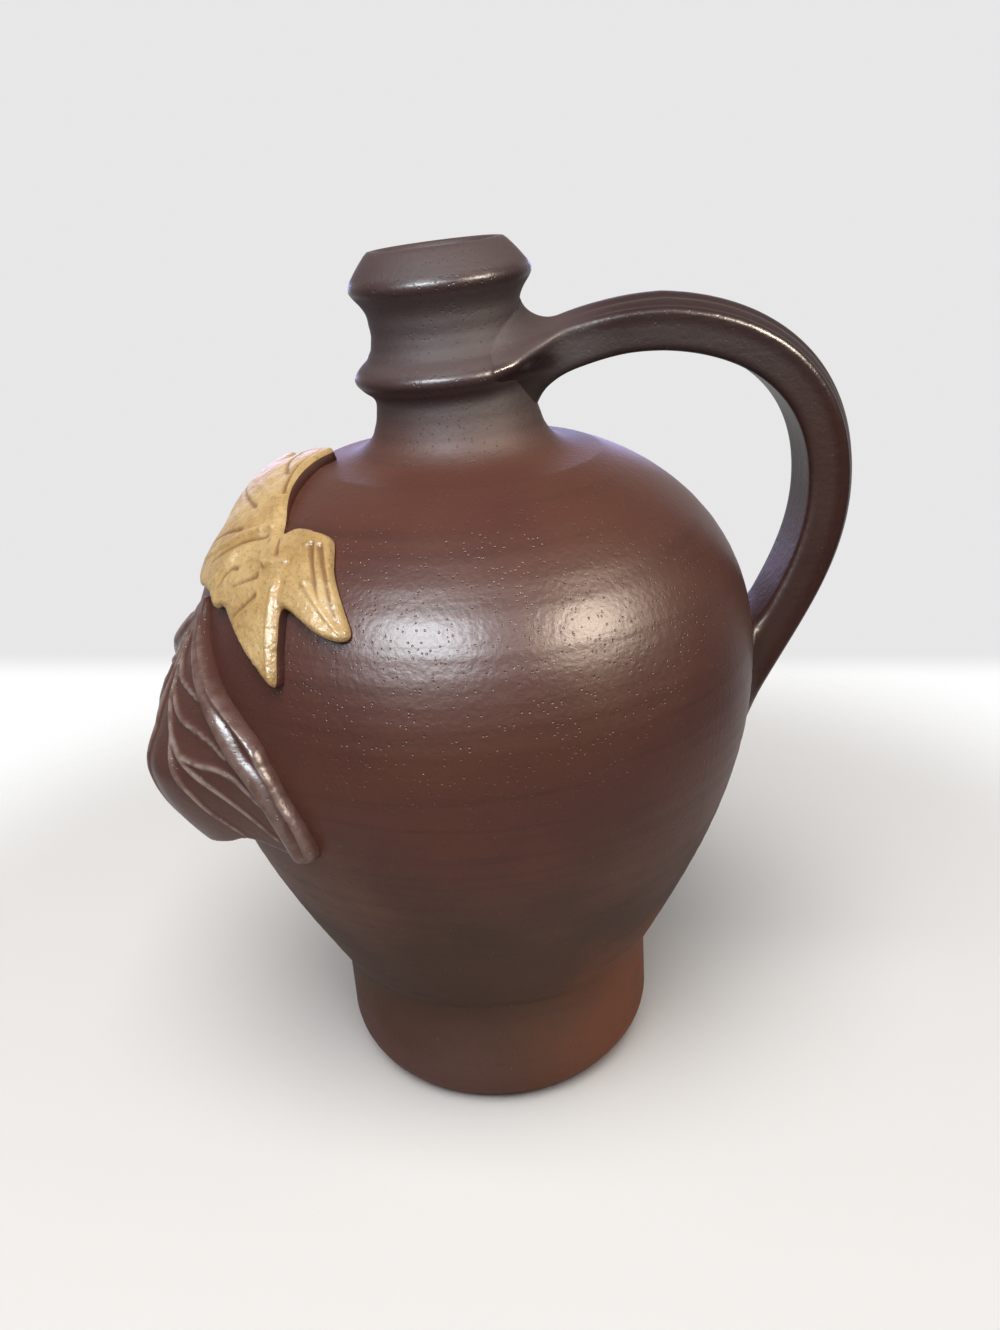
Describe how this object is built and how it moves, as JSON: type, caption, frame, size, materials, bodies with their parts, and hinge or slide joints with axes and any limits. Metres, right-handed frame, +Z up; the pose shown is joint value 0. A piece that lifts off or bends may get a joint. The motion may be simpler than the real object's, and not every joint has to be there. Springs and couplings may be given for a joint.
{
  "type": "earthenware jug",
  "caption": "Round-bellied earthenware jug with a narrow collared neck, a strap handle and applied clay leaves, for holding and pouring liquids.",
  "frame": {"origin": "centre of the foot's flat underside", "axes": "+Z up along the jug's turning axis, +X towards the handle, leaves on the -X side and turned towards -Y"},
  "size_m": [0.2461, 0.196, 0.3013],
  "materials": {
    "brown_glaze": "dark purple-brown satin glaze with fine pitting",
    "olive_glaze": "olive to red-brown satin glaze with fine pitting",
    "ochre_glaze": "ochre satin glaze, darker in the veins and at the edges"
  },
  "bodies": {
    "root": {"foot": "olive_glaze", "belly": "brown_glaze", "neck": "brown_glaze", "handle": "brown_glaze", "ochre_leaf": "ochre_glaze", "brown_leaf": "brown_glaze", "leaf_roll_right": "brown_glaze", "leaf_roll_left": "brown_glaze", "leaf_midrib": "brown_glaze", "leaf_vein_right_1": "brown_glaze", "leaf_vein_right_2": "brown_glaze", "leaf_vein_right_3": "brown_glaze", "leaf_vein_right_4": "brown_glaze", "leaf_vein_right_5": "brown_glaze", "leaf_vein_left_1": "brown_glaze", "leaf_vein_left_2": "brown_glaze", "leaf_vein_left_3": "brown_glaze", "leaf_vein_left_4": "brown_glaze", "leaf_vein_left_5": "brown_glaze"}
  },
  "joints": []
}
